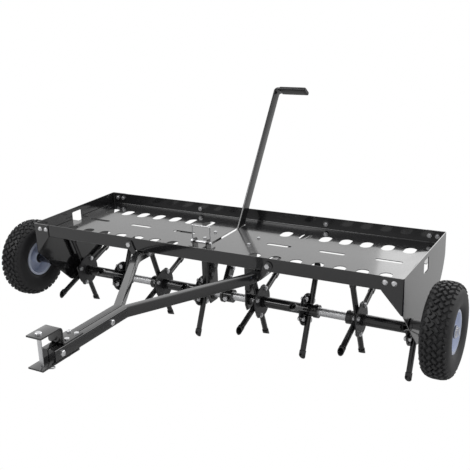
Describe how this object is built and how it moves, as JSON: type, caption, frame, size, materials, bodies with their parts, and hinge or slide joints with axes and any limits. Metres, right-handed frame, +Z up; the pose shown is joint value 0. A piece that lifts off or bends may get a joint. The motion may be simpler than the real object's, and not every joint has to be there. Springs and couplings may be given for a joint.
{
  "type": "tow behind aerator",
  "caption": "Tow-behind plug aerator: black weight tray on a rocking axle with wheels, reels of coring tines, forked drawbar and lift lever.",
  "frame": {"origin": "middle of the bounding box at the ground, which the lowest tine tips touch in the working position", "axes": "+X to the right along the axle, -Y towards the hitch in the direction of travel, +Z up"},
  "size_m": [1.4758, 1.298, 0.7388],
  "materials": {
    "black_powder_coat": "glossy black powder coat",
    "zinc": "bright zinc plate",
    "plate_steel": "semi gloss black coat",
    "bush_plastic": "black engineering plastic",
    "tyre_rubber": "matt black tread rubber",
    "rim_paint": "pale blue grey paint",
    "bearing_steel": "dark bearing steel",
    "grip_vinyl": "black vinyl grip"
  },
  "bodies": {
    "frame": {"tray": "black_powder_coat", "side_plate_left": "black_powder_coat", "side_plate_right": "black_powder_coat", "hanger_left": "black_powder_coat", "hanger_right": "black_powder_coat", "axle_bushes": "bush_plastic", "drawbar_tube_left": "black_powder_coat", "drawbar_tube_right": "black_powder_coat", "drawbar_brackets": "black_powder_coat", "hitch_plate_upper": "black_powder_coat", "hitch_plate_lower": "black_powder_coat", "lock_pin_lugs": "black_powder_coat", "tray_bolts": "zinc", "hanger_bolts": "zinc", "bracket_bolts": "zinc", "drawbar_bolts": "zinc", "hitch_bolts": "zinc"},
    "lock_pin_body": {"lock_pin": "zinc", "lock_pin_bail": "zinc"},
    "hitch_pin_body": {"hitch_pin": "zinc"},
    "hitch_clip_body": {"hitch_pin_clip": "zinc"},
    "rock_shaft": {"main_axle": "zinc", "axle_collars": "black_powder_coat", "wheel_arm_left": "black_powder_coat", "wheel_arm_right": "black_powder_coat", "spindle_left": "zinc", "spindle_right": "zinc", "spindle_fittings": "zinc", "lever_crank": "black_powder_coat", "lift_lever": "black_powder_coat", "lever_grip": "grip_vinyl", "lever_bolts": "zinc"},
    "reel_1": {"reel_tube_1": "black_powder_coat", "star_plates_1": "plate_steel", "tines_1": "black_powder_coat", "star_bolts_1": "zinc"},
    "reel_2": {"reel_tube_2": "black_powder_coat", "star_plates_2": "plate_steel", "tines_2": "black_powder_coat", "star_bolts_2": "zinc"},
    "reel_3": {"reel_tube_3": "black_powder_coat", "star_plates_3": "plate_steel", "tines_3": "black_powder_coat", "star_bolts_3": "zinc"},
    "reel_4": {"reel_tube_4": "black_powder_coat", "star_plates_4": "plate_steel", "tines_4": "black_powder_coat", "star_bolts_4": "zinc"},
    "wheel_left": {"tyre_left": "tyre_rubber", "rim_left": "rim_paint", "wheel_bearings_left": "bearing_steel"},
    "wheel_right": {"tyre_right": "tyre_rubber", "rim_right": "rim_paint", "wheel_bearings_right": "bearing_steel"}
  },
  "joints": [
    {"name": "lift", "type": "hinge", "parent": "frame", "child": "rock_shaft", "pos_m": [0, 0.21238, 0.13668], "axis": [1, 0, 0], "range_deg": [0, 50]},
    {"name": "reel_1_spin", "type": "hinge", "parent": "rock_shaft", "child": "reel_1", "pos_m": [0, 0.21238, 0.13668], "axis": [1, 0, 0], "continuous": true},
    {"name": "reel_2_spin", "type": "hinge", "parent": "rock_shaft", "child": "reel_2", "pos_m": [0, 0.21238, 0.13668], "axis": [1, 0, 0], "continuous": true},
    {"name": "reel_3_spin", "type": "hinge", "parent": "rock_shaft", "child": "reel_3", "pos_m": [0, 0.21238, 0.13668], "axis": [1, 0, 0], "continuous": true},
    {"name": "reel_4_spin", "type": "hinge", "parent": "rock_shaft", "child": "reel_4", "pos_m": [0, 0.21238, 0.13668], "axis": [1, 0, 0], "continuous": true},
    {"name": "wheel_left_spin", "type": "hinge", "parent": "rock_shaft", "child": "wheel_left", "pos_m": [-0.698, 0.08369, 0.21098], "axis": [1, 0, 0], "continuous": true},
    {"name": "wheel_right_spin", "type": "hinge", "parent": "rock_shaft", "child": "wheel_right", "pos_m": [0.698, 0.08369, 0.21098], "axis": [1, 0, 0], "continuous": true},
    {"name": "lock_pin_flip", "type": "hinge", "parent": "frame", "child": "lock_pin_body", "pos_m": [-0.042, 0.11698, 0.33988], "axis": [1, 0, 0], "range_deg": [0, 95]},
    {"name": "hitch_pin_turn", "type": "hinge", "parent": "frame", "child": "hitch_pin_body", "pos_m": [0, -0.62802, 0.36138], "axis": [0, 0, 1], "continuous": true},
    {"name": "hitch_clip_pull", "type": "slide", "parent": "hitch_pin_body", "child": "hitch_clip_body", "axis": [0.866, 0.5, 0], "range_m": [0, 0.045]}
  ]
}
